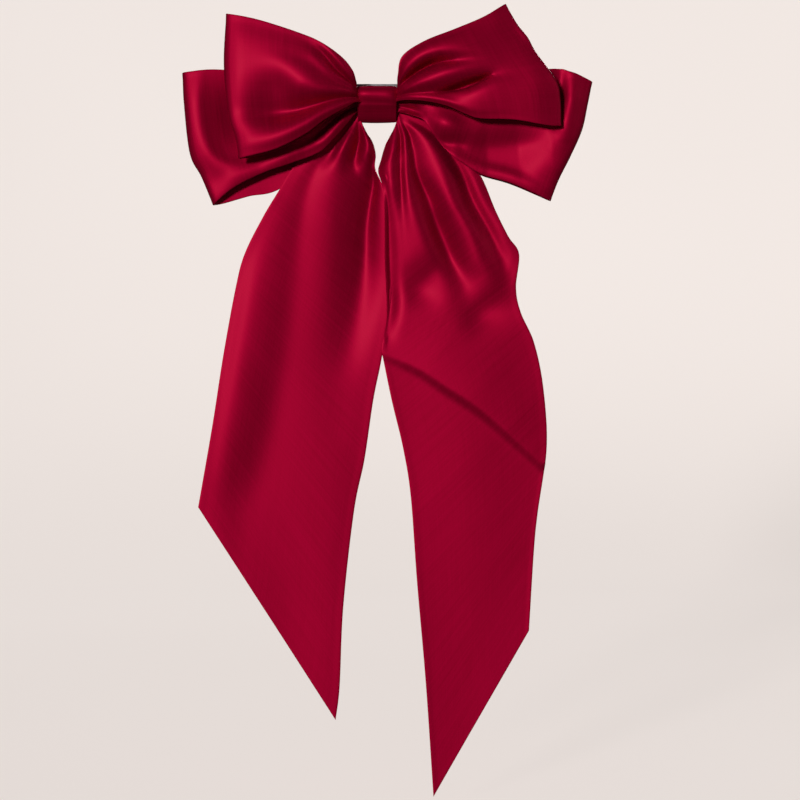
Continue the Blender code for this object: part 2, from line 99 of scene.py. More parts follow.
REAR_LEFT = {
    "top": [(0, 3.9), (-9.4, 4.4), (-30, 11), (-69.5, 15.9), (-89.7, 14.8)],
    "bottom": [(0, -4), (-8.8, -3.4), (-14, -9), (-20.2, -16), (-27, -22.3), (-39.1, -27), (-52.6, -31.7),
               (-66.1, -38.5), (-75.5, -46.2)],
    "rear_bottom": [(0, -4), (-8.8, -4.2), (-22, -22), (-45.2, -38.5), (-59.3, -41.9), (-70.8, -45.3),
                    (-75.5, -46.2)],
    "fold": [(-75.5, -46.2), (-81, -33.1), (-86.3, -22.3), (-89, 0.6), (-89.7, 14.8)],
}
REAR_RIGHT = {
    "top": [(0, 3.9), (9.6, 4.4), (35, 11), (79, 16.1), (89.1, 14.8), (99.2, 10.7)],
    "bottom": [(0, -4), (9.6, -3.4), (14.5, -4.6), (21.6, -7.4), (25.7, -13.6), (32.4, -21.7), (40.5, -27.7),
               (48.6, -32.4), (62.1, -36.5), (79.9, -44.3)],
    "fold": [(79.9, -44.3), (83.7, -34.5), (89.1, -23.7), (94.5, -11.5), (97.2, 0.6), (99.2, 10.7)],
}
TAIL_LEFT = {
    "outer": [(0, 1.5), (-9.5, 1.2), (-24, -11), (-37, -26), (-45.4, -39.2), (-53.1, -52.1), (-61.3, -68.6),
              (-65.4, -83.8), (-71.3, -115.5), (-76.5, -148.4), (-83.2, -186)],
    "inner": [(0, -3.8), (-7.0, -6.2), (-7.6, -9.4), (-4.6, -13.4), (-1.8, -18), (-0.6, -23), (-0.9, -29),
              (2.4, -37), (5, -52), (6.5, -88), (2.1, -116.7), (-1.8, -136.2), (-5.9, -163.7),
              (-10.8, -187.8), (-15.8, -232.4), (-17.5, -269.4), (-19.4, -285.4)],
}
TAIL_RIGHT = {
    "outer": [(0, 1.5), (9.5, 1.2), (25, -9), (38, -22), (47.6, -31.8), (54.9, -48.6), (60.8, -60.4),
              (65.8, -68.6), (64.4, -84), (66.6, -95.5), (72.8, -109.6), (77, -130), (78.6, -158),
              (74.5, -189), (72.8, -206.6), (70.6, -243.4)],
    "inner": [(0, -3.8), (8, -6), (9, -9), (6.8, -13), (4, -18), (1.8, -25.5), (0.6, -30.5), (2.4, -37),
              (3.6, -48), (3.8, -72), (4.4, -84), (4.6, -98), (2.2, -112), (2.9, -117.5), (6.8, -136.6),
              (12.1, -158.9), (15.6, -181.2), (18.5, -220.7), (22.6, -268), (26.2, -321.2)],
}

# A loop's section: out along its front panel, round its fold and back along its back panel, as (share of the
# way out, depth in millimetres from the gathered ply).
FRONT_SECTION = {
    "ply": FRONT_FRONT_PLY,
    "out": [(0, 0), (0.05, 0), (0.09, -0.2), (0.115, -1.4), (0.15, -4.2), (0.22, -7.4), (0.38, -10.4),
            (0.65, -11.8), (0.88, -11), (0.96, -9.8), (0.99, -8.6)],
    "turn": -7.4,
    "back": [(0.99, -6.4), (0.96, -5.6), (0.85, -5.0), (0.6, -5), (0.3, -4.4), (0.17, -1.6), (0.1, 0),
             (0.05, 0), (0, 0)],
}
REAR_SECTION = {
    "ply": REAR_FRONT_PLY,
    "out": [(0, 0), (0.05, 0), (0.09, -0.1), (0.12, -1.2), (0.17, -2.6), (0.3, -4.4), (0.45, -5.4),
            (0.8, -4.9), (0.95, -3.2), (0.99, -1.8)],
    "turn": 0.9,
    "back": [(0.99, 0.2), (0.95, 0.9), (0.8, 1.6), (0.5, 2.0), (0.2, 0.9), (0.1, 0), (0.05, 0), (0, 0)],
}
CROWN = 0.3  # how much flatter a loop is at its edges than along its middle
PANEL_GAP = 1.2  # the least room between a loop's two panels, in millimetres

# Depth of the tails behind their gathered ply: (share of the way down, millimetres).
TAIL_DEPTH = [(0, 0), (0.12, 0.2), (0.3, 2.6), (0.6, 4.4), (1, 6.4)]
RIGHT_TAIL_FORWARD = 2.8
LEAN = 3.0  # how far the tails' outer edges stand in front of their inner ones


# ---- curves and fields -----------------------------------------------------------------------------
def smooth_curve(points, steps=14):
    ends = np.array(points, float)
    ends = np.vstack([2 * ends[0] - ends[1], ends, 2 * ends[-1] - ends[-2]])
    t = (np.arange(steps) / steps)[:, None]
    parts = []
    for a, b, c, d in zip(ends, ends[1:], ends[2:], ends[3:]):
        parts.append(0.5 * (2 * b + (c - a) * t + (2 * a - 5 * b + 4 * c - d) * t**2
                            + (3 * b - a - 3 * c + d) * t**3))
    parts.append(ends[-2:-1])
    return np.vstack(parts)


def lengths(curve):
    return np.concatenate([[0], np.cumsum(np.linalg.norm(np.diff(curve, axis=0), axis=1))])


def along(points, shares):
    """Points at shares of a smooth curve's length."""
    curve = smooth_curve(points)
    run = lengths(curve)
    at = np.asarray(shares) * run[-1]
    return np.stack([np.interp(at, run, curve[:, i]) for i in range(curve.shape[1])], axis=-1)


def fold(field, places, path, height, width, other=None):
    """Adds a ridge (height above 0) or a valley along a path. Heights and widths run along it.

    `width` is the reach on the path's left, and `other` the reach on its right where that differs.
    """
    curve = smooth_curve(path, 6)
    run = lengths(curve)
    start, step = curve[:-1], np.diff(curve, axis=0)
    flat = places.reshape(-1, 2)
    best = np.full(len(flat), 1e9)
    share = np.zeros(len(flat))
    side = np.zeros(len(flat))
    for i in range(len(start)):
        away = flat - start[i]
        t = np.clip(away @ step[i] / (step[i] @ step[i]), 0, 1)
        gap = away - t[:, None] * step[i]
        far = np.hypot(gap[:, 0], gap[:, 1])
        nearer = far < best
        best[nearer] = far[nearer]
        share[nearer] = ((run[i] + t * (run[i + 1] - run[i])) / run[-1])[nearer]
        side[nearer] = (step[i][0] * away[:, 1] - step[i][1] * away[:, 0])[nearer]
    tall = np.interp(share, np.linspace(0, 1, len(height)), height)
    reach = np.interp(share, np.linspace(0, 1, len(width)), width)
    if other is not None:
        right = np.interp(share, np.linspace(0, 1, len(other)), other)
        reach = np.where(side > 0, reach, right)
    field += (tall * np.exp(-(best / reach) ** 2)).reshape(field.shape)


def relief(along_folds, across_folds, lines):
    """Height of cloth that runs from each crest or trough to the next one across it.

    Each line is a list of (distance from the knot, place across, height), and the lines are in order across.
    """
    places, heights = [], []
    for line in lines:
        curve = smooth_curve(line, 8)
        places.append(np.interp(along_folds, curve[:, 0], curve[:, 1]))
        heights.append(np.interp(along_folds, curve[:, 0], curve[:, 2]))
    places = np.maximum.accumulate(np.array(places), axis=0)
    field = heights[0].copy()
    for low, high, start, end in zip(places, places[1:], heights, heights[1:]):
        t = np.clip((across_folds - low) / np.maximum(high - low, 0.2), 0, 1)
        rounded = np.where(start > end, t**1.8, 1 - (1 - t) ** 1.8)  # full crests and tight troughs
        field += (end - start) * rounded
    return field


def soften(field, passes):
    """Evens out a field over a grid of points, a little more with each pass."""
    for _ in range(passes):
        wide = np.pad(field, 1, mode="edge")
        field = 0.5 * field + 0.125 * (wide[:-2, 1:-1] + wide[2:, 1:-1] + wide[1:-1, :-2] + wide[1:-1, 2:])
    return field


def soften_outwards(field, reach, near, far, start, end):
    """Crisp folds by the knot that grow rounder further out."""
    share = np.clip((reach - start) / (end - start), 0, 1)
    crisp = soften(field, near)
    return crisp * (1 - share) + soften(crisp, far) * share


def swell(field, places, middle, size, height, turn=0.0):
    """Adds an oval dome or hollow."""
    c, s = math.cos(math.radians(turn)), math.sin(math.radians(turn))
    x = places[..., 0] - middle[0]
    z = places[..., 1] - middle[1]
    field += height * np.exp(-((x * c + z * s) / size[0]) ** 2 - ((z * c - x * s) / size[1]) ** 2)


def pleats(out, up, count, height, reach, seed):
    """Pleats that fan out of the band: rounded ridges with tight valleys, dying away with distance."""
    rng = np.random.default_rng(seed)
    shift = rng.uniform(-0.25, 0.25, count + 1)
    tall = rng.uniform(0.6, 1.2, count + 1)
    far = rng.uniform(0.6, 1.3, count + 1) * reach
    at = (np.arange(count + 1) + shift) / count
    field = np.zeros(np.broadcast(out, up).shape)
    rise = 1 - np.exp(-out / 5.0)
    for i in range(count + 1):
        width = 0.34 / count * (0.8 + 0.4 * tall[i])
        ridge = np.exp(-((up - at[i]) / width) ** 2)
        field += (ridge - 0.4) * height * tall[i] * (0.25 + rise) * np.exp(-(out / far[i]) ** 1.5)
    return field


def at_least(field, floor):
    """The field, eased to stay above the floor."""
    return floor + np.logaddexp(0, (field - floor) * 3) / 3


def ripple(places, size, seed):
    """Slow waves of the cloth, from a few crossed sines."""
    rng = np.random.default_rng(seed)
    field = np.zeros(places.shape[:-1])
    for _ in range(7):
        angle = rng.uniform(0, math.pi)
        wave = size * rng.uniform(0.7, 1.6)
        turn = rng.uniform(0, 2 * math.pi)
        field += np.sin((places[..., 0] * math.cos(angle) + places[..., 1] * math.sin(angle)) * 2 * math.pi
                        / wave + turn)
    return field / 7


# ---- meshes ----------------------------------------------------------------------------------------
def grid_object(name, rows, uv, closed, weights=None):
    """A sheet through a grid of points in metres, with its flat size in metres as its UV map."""
    count, wide = rows.shape[:2]
    mesh = bpy.data.meshes.new(name)
    index = np.arange(count * wide).reshape(count, wide)
    if closed:
        index = np.vstack([index, index[:1]])
    a, b = index[:-1, :-1].ravel(), index[:-1, 1:].ravel()
    c, d = index[1:, 1:].ravel(), index[1:, :-1].ravel()
    faces = np.stack([a, b, c, d], axis=1)
    mesh.from_pydata(rows.reshape(-1, 3).tolist(), [], faces.tolist())
    layer = mesh.uv_layers.new(name="flat")
    flat = uv.reshape(-1, 2)
    loops = np.zeros(len(mesh.loops), int)
    mesh.loops.foreach_get("vertex_index", loops)
    values = flat[loops]
    if closed:  # the last row of faces joins the last row to the first
        last = (count - 1) * (wide - 1) * 4
        ends = loops[last:] < wide
        values[last:][ends, 1] = uv[-1, 0, 1] + (uv[1, 0, 1] - uv[0, 0, 1])
    layer.data.foreach_set("uv", values.ravel().astype(np.float32))
    obj = bpy.data.objects.new(name, mesh)
    bpy.context.scene.collection.objects.link(obj)
    if weights is not None:
        group = obj.vertex_groups.new(name="thickness")
        for value in np.unique(np.round(weights.ravel(), 2)):
            chosen = np.nonzero(np.round(weights.ravel(), 2) == value)[0]
            group.add(chosen.tolist(), float(value), "REPLACE")
    return obj


def thicken(obj, thickness):
    solid = obj.modifiers.new("thickness", "SOLIDIFY")
    solid.thickness = thickness
    solid.offset = 0.0
    solid.use_quality_normals = True
    if "thickness" in obj.vertex_groups:
        solid.vertex_group = "thickness"
    obj.data.shade_smooth()
    edge = obj.modifiers.new("rounded", "BEVEL")
    edge.width = thickness * 0.3
    edge.segments = 2
    edge.limit_method = "ANGLE"
    edge.angle_limit = math.radians(60)


def hem_weights(shape):
    """Full thickness along the turned edges, a little less in the field between them."""
    hem = 0.035  # share of the width
    across = np.linspace(0, 1, shape[1])
    near = np.minimum(across, 1 - across) / hem
    return np.broadcast_to(0.72 + 0.28 * np.exp(-near**4)[None, :], shape).copy()


def flat_map(rows):
    """The ribbon's UV map, in metres across it and along its middle line, and that line's length."""
    run = lengths(rows[:, COLUMNS // 2])
    across = np.linspace(0, RIBBON_WIDTH, COLUMNS)
    return np.stack(np.broadcast_arrays(across[None, :], run[:, None]), axis=-1), float(run[-1])


# ---- loops -----------------------------------------------------------------------------------------
def section(shape):
    """Shares and depths round a loop, evenly spaced, and which of the points are on its back panel."""
    width = RIBBON_WIDTH / MM
    full = shape["out"] + [(1.0, shape["turn"])] + [(u, y + PLY / MM) for u, y in shape["back"]]
    curve = smooth_curve([(u * width, y) for u, y in full], 16)
    run = lengths(curve)
    count = int(run[-1] / STEP)
    even = np.interp(np.linspace(0, run[-1], count), run, np.arange(len(run)))
    points = np.stack([np.interp(even, np.arange(len(run)), curve[:, i]) for i in (0, 1)], axis=1)
    u = np.clip(points[:, 0] / width, 0, 1)
    is_back = np.arange(count) > np.argmax(points[:, 0])
    return u, points[:, 1], is_back


def loop_rows(shape, loop, front_folds, back_seed):
    """Points of one loop: its outline from the front, its section in depth, and its folds on top."""
    u, depth, is_back = section(shape)
    v = np.linspace(0, 1, COLUMNS)
    top = along(loop["top"], u)
    low = along(loop["bottom"], u)
    rear = along(loop.get("rear_bottom", loop["bottom"]), u)
    low = np.where(is_back[:, None], rear, low)
    edge = along(loop["fold"], v)
    chord = np.outer(1 - v, loop["fold"][0]) + np.outer(v, loop["fold"][-1])
    xz = low[:, None] * (1 - v)[None, :, None] + top[:, None] * v[None, :, None]
    xz = xz + (u**3)[:, None, None] * (edge - chord)[None]
    u2, v2 = np.broadcast_arrays(u[:, None], v[None, :])
    hump = 1 - CROWN * np.abs(2 * v2 - 1) ** 2.2 * np.clip((u2 - 0.12) / 0.2, 0, 1)
    puff = depth[:, None] * hump + (1 - hump) * (shape["turn"] * 0.9)
    inside = np.interp(u2, *zip(*shape["back"][::-1])) + PLY / MM - np.interp(u2, *zip(*shape["out"]))
    lift_front = at_least(front_folds(xz, u2, v2), -np.maximum(inside - PANEL_GAP, 0.2))
    lift_back = back_folds(xz, u2, v2, back_seed)
    carried = np.clip((u2 - 0.8) / 0.2, 0, 1) ** 2
    lift_back = lift_back * (1 - carried) + lift_front * carried
    lift = np.where(is_back[:, None], lift_back, lift_front)
    y = shape["ply"] / MM + puff - lift
    return np.stack([xz[..., 0] * MM + KNOT.x, y * MM, xz[..., 1] * MM + KNOT.z], axis=-1)


def build_bow(name, shape, left, right):
    """A closed belt of ribbon. Each side is its outline, its folds and the seed of its back panel."""
    left_rows = loop_rows(shape, *left)
    right_rows = loop_rows(shape, *right)
    rows = np.vstack([left_rows, right_rows[::-1][1:-1]])
    uv, run = flat_map(rows)
    bow = grid_object(name, rows, uv, True, hem_weights(rows.shape[:2]))
    thicken(bow, SHEET)
    middle = rows[:, COLUMNS // 2]
    return bow, run + float(np.linalg.norm(middle[-1] - middle[0]))


def beside_band(xz):
    """Distance outwards from the band's side."""
    return np.maximum(np.abs(xz[..., 0]) - HALF_BAND, 0)


def front_left_folds(xz, u, v):
    lines = [  # from the lower edge up
        [(9, 0.2, 0), (13.5, -2.3, 0), (24.4, -9.1, 0), (32.3, -15.2, 0), (46, -22.2, 0), (69, -27, 0)],
        [(9, 0.9, 0.6), (14, -1, 1.6), (20, -4.4, 2.2), (26, -7.6, 2.6), (32, -11.4, 3), (38, -14.4, 3.2),
         (44, -16.6, 3), (52, -19.4, 2.4), (60, -21.5, 1.6), (69, -23, 0.8)],
        [(9, 2.4, -0.6), (14, 2.0, -1.4), (20, 0.9, -2.4), (26, -1, -3.4), (32, -3, -4.4), (38, -4.6, -5.4),
         (44, -5.6, -6), (49, -6, -5.2), (55, -6, -2.8), (60, -5, -1), (69, -4, 0)],
        [(9, 3.8, 0.6), (14, 4.0, 1.6), (20, 4.2, 2.6), (25.3, 4.8, 3.2), (31.7, 8, 3.6), (36.3, 8.6, 3.4),
         (40, 11.5, 2.8), (46, 16, 1.8), (52, 17.5, 1.2), (60, 16, 0.8), (69, 14, 0.3)],
        [(9, 5.2, 0.1), (14, 7.0, 0), (20, 9.6, 0.2), (26, 13.4, 0.7), (32, 17, 1.0), (44, 22, 1.0),
         (60, 26, 0.8), (69, 28, 0.4)],
        [(9, 5.9, 0.3), (14, 8.8, 1.0), (19, 11.6, 1.5), (24, 15.4, 1.8), (29, 20.6, 1.2), (35, 25, 0.5),
         (69, 36, 0.2)],
        [(9, 6.7, -0.6), (14.7, 11.0, -2.2), (20.2, 15.8, -3.2), (23.4, 20.6, -2.8), (28, 24.6, -0.8),
         (35, 27.5, 0), (69, 38, 0)],
        [(9, 7.6, 0.6), (12, 12, 1.8), (16, 17.2, 2.4), (21, 21.8, 2.2), (26, 25.3, 1.2), (35, 29, 0.2),
         (69, 39, 0)],
        [(9, 9.2, 0), (11.2, 14.4, 0.6), (16, 20, 1.2), (25.6, 26.8, 0.6), (35.4, 31, 0), (69, 40.2, 0)],
    ]
    lift = relief(-xz[..., 0], xz[..., 1], lines)
    swell(lift, xz, (-44, 6), (8, 8), -1.6, 0)
    lift = soften_outwards(lift * 1.1, -xz[..., 0], 26, 14, 20, 50)
    return lift + pleats(beside_band(xz), v, 5, 0.6, 7, seed=4) + 0.5 * u * ripple(xz, 45, 11)


def front_right_folds(xz, u, v):
    lines = [  # from the lower edge up: edge, rim, broad lip, deep crease, swelling, hollow, arch, edge
        [(9, 1.0, 0), (21.6, 0.0, -1.2), (31.7, -2.4, -1.6), (39.8, -6, -1.6), (46.9, -8.4, -1), (62, -9, 0),
         (84, -11.4, 0)],
        [(9, 1.8, 0.5), (21.6, 1.4, 1), (31.7, -0.4, 1.2), (39.8, -3.2, 1.2), (46.9, -5, 1), (62, -5, 0.8),
         (84, -9, 0.3)],
        [(9, 2.8, 0.2), (21.6, 2.7, 0.2), (29.7, 2.0, -0.4), (35, 1.4, -0.4), (39.8, 2.0, 0.8),
         (46.9, 4.6, 2), (53, 6.4, 2), (62, 6, 1.4), (84, 0, 0.3)],
        [(9, 3.6, -0.6), (21.6, 3.9, -1.4), (29.7, 4.4, -3), (39.8, 6.6, -4.2), (46.9, 9.4, -3.6),
         (53, 12.0, -1), (62, 12, 1), (84, 4, 0.3)],
        [(9, 4.8, 0.4), (15, 6.4, 1.4), (22, 8.8, 2.4), (30.7, 12, 3.4), (37, 13.6, 3.2), (44, 15, 2.2),
         (53, 16.5, 1.6), (62, 16, 1.2), (84, 8, 0.3)],
        [(9, 6.6, -0.6), (10.5, 7.7, -0.9), (15, 10.8, -2.4), (19.6, 13.9, -3.4), (25.7, 16.8, -3.6),
         (31, 17.6, -2.6), (36.8, 18.2, -0.4), (46, 18.8, 1.2), (60, 19, 1.2), (84, 12, 0.3)],
        [(9, 7.6, 0.4), (13.5, 14.3, 2.2), (17, 18, 3), (21.6, 21.0, 3.4), (31.7, 23.2, 3.6),
         (41.9, 22.6, 2.8), (52, 21, 2), (62, 20, 1.2), (84, 14, 0.2)],
        [(9, 12, 0), (11.6, 20.6, 0), (21.6, 27.1, 0.2), (35, 32.5, -0.4), (48.6, 38.6, -1.2),
         (58.7, 45, -2), (84, 46, -2)],
    ]
    lift = relief(xz[..., 0], xz[..., 1], lines)
    lift = soften_outwards(lift * 0.85, xz[..., 0], 24, 10, 25, 60)
    fold(lift, xz, [(28, 3.9), (33, 5.1), (39.8, 6.7), (46.9, 9.5), (52.5, 12.2)], (-0.6, -5, -8, -7, 0),
         (0.9, 1.2, 1.6, 1.3, 0.9), other=(0.8, 0.9, 1.0, 0.9, 0.8))
    fold(lift, xz, [(11, 8.4), (15, 11.4), (19.6, 14.5), (25.7, 17.3), (31, 18.2), (36, 18.4)],
         (-0.4, -2.4, -3.6, -3.2, -1, 0), (1.0, 1.3, 1.5, 1.5, 1.2, 1), other=(1.0, 1.2, 1.3, 1.3, 1.2, 1))
    swell(lift, xz, (66, 30), (20, 15), -4, 50)
    swell(lift, xz, (82, -2), (7, 16), -1.6, 0)
    return lift + pleats(beside_band(xz), v, 5, 0.6, 7, seed=9) + 0.5 * u * ripple(xz, 45, 12)


def rear_left_folds(xz, u, v):
    lift = pleats(beside_band(xz), v, 4, 1.2, 12, seed=21)
    # a standing rim round a wide hollow that runs in behind the front loop
    fold(lift, xz, [(-82.5, 15), (-83, 0), (-81, -14), (-76, -24.5), (-67, -29), (-54, -29)],
         (0.4, 1.2, 1.4, 1.4, 1.2, 0), (4, 4, 4, 4, 4, 4), other=(6, 6, 6, 6, 6, 6))
    swell(lift, xz, (-63.5, -5), (12, 19), -6, 6)
    fold(lift, xz, [(-9, -2.6), (-14.5, -6.6), (-20, -12.5), (-26, -20)], (0.6, 2.4, 2.2, 0),
         (1.4, 2, 2.6, 4))
    fold(lift, xz, [(-10, -1.0), (-17, -4.6), (-26, -12), (-38, -20)], (-0.8, -2.6, -2.4, 0),
         (1.2, 1.8, 3, 4))
    fold(lift, xz, [(-24, -17), (-45, -26), (-62, -33), (-74, -42)], (0.4, 1.2, 1.2, 0.6), (2, 3, 4, 4))
    return lift + 0.4 * u * ripple(xz, 45, 13)


def rear_right_folds(xz, u, v):
    lift = pleats(beside_band(xz), v, 4, 1.2, 12, seed=22)
    fold(lift, xz, [(90.6, 12), (90, 5), (88.6, -4), (86.6, -13), (80, -24)], (1.2, 2.4, 2.4, 1.6, 0),
         (4, 4, 4, 5, 6), other=(6, 6, 6, 6, 6))
    fold(lift, xz, [(84.5, 15), (84, 3), (82.5, -9)], (-1.2, -3.6, -1), (3, 3, 3))
    swell(lift, xz, (31.5, -9.6), (8, 5), 3, -20)
    fold(lift, xz, [(25, -14.5), (31, -17.5), (38, -18)], (0, -1.4, -1), (2, 2.6, 3))
    fold(lift, xz, [(10, -1), (17, -2.6), (23, -5)], (-0.6, -2, 0), (1.2, 1.6, 1.8))
    # a long shallow trough under the front loop
    fold(lift, xz, [(36, -19), (48, -21), (64, -20), (80, -18)], (-0.6, -3.8, -3.8, -0.6), (5, 8, 8, 6),
         other=(5, 14, 14, 10))
    swell(lift, xz, (84, -26), (16, 12), 2.2, 0)
    fold(lift, xz, [(36, -24), (48, -29.5), (62, -33.5), (76, -40)], (0.6, 1.2, 1.2, 0.6), (2.6, 3, 3, 3))
    return lift + 0.4 * u * ripple(xz, 45, 14)


def back_folds(xz, u, v, seed):
    """Folds of a loop's hidden back panel: pleats at the knot and slow waves."""
    return pleats(beside_band(xz), v, 7, 0.5, 24, seed=seed) + 0.8 * u * ripple(xz, 50, seed)


# ---- tails -----------------------------------------------------------------------------------------
def tail_left_folds(xz):
    lines = [  # from the outer edge in: edge, crest, hollow, crest, main valley, inner crest, edge
        [(6, -9.6, 0), (16, -23, 0.2), (24, -33, 0.2), (38, -45.4, 0), (56, -56, -0.4), (72, -62.6, -0.8),
         (104, -69, -1), (145, -76, -0.8), (177, -81.4, -0.2), (190, -85, 0), (300, -90, 0)],
        [(6, -9.2, 0.1), (16, -21, 0.4), (24, -30, 0.6), (38, -42, 0.8), (56, -52.5, 1.6), (72, -58.5, 2.4),
         (104, -64.5, 3), (145, -71.5, 2.8), (177, -78, 1.8), (190, -80, 0.8), (300, -82, 0)],
        [(6, -8.9, 0), (16, -18.4, 0.3), (24, -25, 0.2), (38, -32, 0), (56, -36, -0.2), (72, -38, -0.4),
         (104, -42, -0.6), (145, -50, -0.8), (177, -60, -0.8), (190, -64, -0.4), (300, -70, 0)],
        [(6, -8.6, 0.2), (9, -9.6, 0.4), (15, -13.6, 0.8), (21, -17, 1.2), (28, -19.6, 1.6), (36, -21, 1.5),
         (52, -23, 1.1), (72, -23, 0.9), (95, -25, 0.6), (120, -28, 0.2), (140, -28, 0.2), (190, -28, 0),
         (300, -30, 0)],
        [(6, -7.4, -0.2), (14, -4.4, 0), (21, -2.2, -1), (28, -2.0, -3), (36, -1.2, -5), (44, -2.8, -5.4),
         (56, -4.6, -5.4), (72, -5.4, -4.8), (95, -9, -3), (120, -15, -1), (140, -20, 0), (300, -24, 0)],
        [(6, -7.2, 0.1), (14, -4.2, 0), (21, -1.6, -0.8), (28, -1.2, -1.8), (35, 1.2, -0.6), (44, 1.8, 0),
         (56, 2.6, 0), (72, 3, 0), (95, 2.4, 0.2), (120, -3, 0.4), (140, -8, 0), (300, -20, 0)],
        [(6, -6.8, 0), (14, -4, 0), (21, -0.8, -0.8), (28, -0.4, -1.6), (37, 2.8, 0), (52, 5.4, 0.6),
         (72, 6.4, 0.6), (95, 6.4, 0.4), (120, 2, 0), (300, -18, 0)],
    ]
    reach = np.hypot(xz[..., 0] + 8, xz[..., 1] + 4)
    lift = relief(-xz[..., 1], xz[..., 0], lines)
    # the gathered strands under the knot: two valleys, and rounded strands between and beside them
    fold(lift, xz, [(-10.5, -9), (-16.4, -15.5), (-21, -22), (-26, -29)], (-0.6, -2, -2, 0),
         (1.2, 1.6, 2.2, 3))
    fold(lift, xz, [(-9.6, -8), (-13.2, -14), (-16.5, -20), (-19.5, -27)], (0.6, 2.2, 2, 0),
         (1.4, 1.8, 2.6, 4))
    fold(lift, xz, [(-8.6, -8.5), (-8.2, -14), (-8.8, -19), (-11, -25), (-12, -33)], (-1, -3, -3.6, -2.4, 0),
         (1.2, 1.7, 2.1, 3, 5))
    fold(lift, xz, [(-7.4, -8), (-6.2, -12), (-4.6, -16), (-3.8, -21), (-4.6, -26), (-7, -32)],
         (0.6, 2.4, 3.2, 3.4, 2, 0), (1.6, 2, 2.5, 2.8, 3.2, 4))
    lift = soften_outwards(lift, reach, 16, 60, 24, 80)
    return lift + np.clip(reach / 80, 0, 1) * ripple(xz * (1.8, 1), 110, 31)


def tail_right_folds(xz):
    lines = [  # from the inner edge out: edge, strand, pocket, strand, valley, ridge, valley, flap, edge
        [(6, 8.2, 0), (12, 7, -0.5), (20, 3.2, -2.4), (30, 0.6, -3), (40, 3, -1.2), (50, 3.6, 0),
         (70, 3.8, 0), (80, 4.1, -1), (95, 4.4, -2.4), (110, 2.4, 0), (125, 3, 0), (330, 20, 0)],
        [(6, 8.5, 0.3), (12, 8.6, 1.4), (21, 7.4, 2.8), (31, 6.4, 3), (40, 6.6, 2.6), (50, 8, 2),
         (70, 9.5, 1.4), (80, 10, 1), (95, 10, 0.6), (110, 8, 0.3), (125, 8, 0), (330, 25, 0)],
        [(6, 8.8, 0.1), (12, 10.6, -0.8), (21, 11.2, -2), (31, 11, -2.2), (40, 11.4, -0.8), (50, 12, 0.6),
         (70, 13, 1.1), (95, 14, 0.6), (125, 14, 0), (330, 30, 0)],
        [(6, 9.0, 0.4), (12, 12.2, 1.8), (21, 13.2, 2.6), (31, 13.2, 2.8), (44, 15, 2.8), (50, 17, 2.8),
         (60, 21, 2.8), (70, 24.6, 2.6), (80, 28.5, 1.8), (95, 30, 0.6), (125, 30, 0), (330, 40, 0)],
        [(6, 9.3, 0), (12, 14.2, -1.2), (21, 16.2, -2.4), (31, 18, -3.2), (44, 24, -4.6), (58, 28.6, -5),
         (72, 34.6, -4), (80, 39, -2), (95, 42, 0), (125, 42, 0), (330, 50, 0)],
        [(6, 9.8, 0.6), (12, 19.6, 1.8), (21, 26, 3), (31, 30.4, 3.8), (44, 34.4, 4), (58, 43, 3.8),
         (72, 48, 2.8), (81, 53, 1.6), (95, 57, 0.4), (125, 60, 0), (330, 64, 0)],
        [(6, 10.2, 0.2), (12, 24, -1.8), (21, 33, -3), (31, 39, -3.8), (44, 44, -4.4), (58, 52, -4.6),
         (66, 56.4, -4.4), (74, 60, -3.4), (80, 62, -2), (90, 63.4, 0), (125, 65, 0), (330, 68, 0)],
        [(6, 10.6, 0.3), (12, 25.6, -1.2), (21, 35.5, -0.8), (31, 43, -0.2), (44, 49, 0.4), (58, 56.4, 1.2),
         (66, 60, 1.4), (74, 62.4, 1.2), (80, 63.6, 0.6), (90, 65, 0), (125, 68, 0), (330, 72, 0)],
        [(6, 12, 0), (12, 27, -1), (18, 34, -1), (30, 45.5, -1.2), (42, 51.5, -1.4), (54, 58, -1.6),
         (62, 61.6, -1.8), (68.6, 65.8, -1.8), (79, 65.6, -1), (90, 66.4, -0.4), (125, 76, 0), (330, 80, 0)],
    ]
    reach = np.hypot(xz[..., 0] - 9, xz[..., 1] + 4)
    lift = relief(-xz[..., 1], xz[..., 0], lines)
    # dents where the gathers run out, and the pressed crease across the tail
    fold(lift, xz, [(11, -75), (19, -84.5), (31, -92)], (-0.6, -3, -0.6), (16, 20, 16), other=(4, 6, 5))
    fold(lift, xz, [(43, -88), (47, -96), (50, -106)], (0, -2.4, 0), (14, 16, 14), other=(4, 5, 5))
    fold(lift, xz, [(20, -38), (25.5, -47), (31, -57)], (0, 1.8, 0), (1.8, 2.2, 2))
    lift = lift * (0.8 + 0.3 * np.clip((reach - 25) / 25, 0, 1))
    lift = soften_outwards(lift, reach, 18, 30, 20, 90)
    fold(lift, xz, [(3.3, -114.4), (19.7, -121.4), (32.6, -129.6), (50.2, -141.3), (76.6, -164.8)],
         (1.0, 2.0, 2.4, 2.4, 1.6), (18, 24, 26, 22, 20), other=(2.6, 3, 3.2, 3.2, 3))
    # the inner edge lies over the other tail and dips beside its rim
    fold(lift, xz, [(4.6, -36), (5.4, -48), (5.6, -70), (6.2, -90), (4.6, -106)],
         (-0.6, -2.2, -2.4, -2.4, -0.6),
         (4, 4.5, 4.5, 4.5, 4), other=(1.2, 1.2, 1.2, 1.4, 1.6))
    return lift + np.clip(reach / 80, 0, 1) * ripple(xz * (1.8, 1), 110, 32)


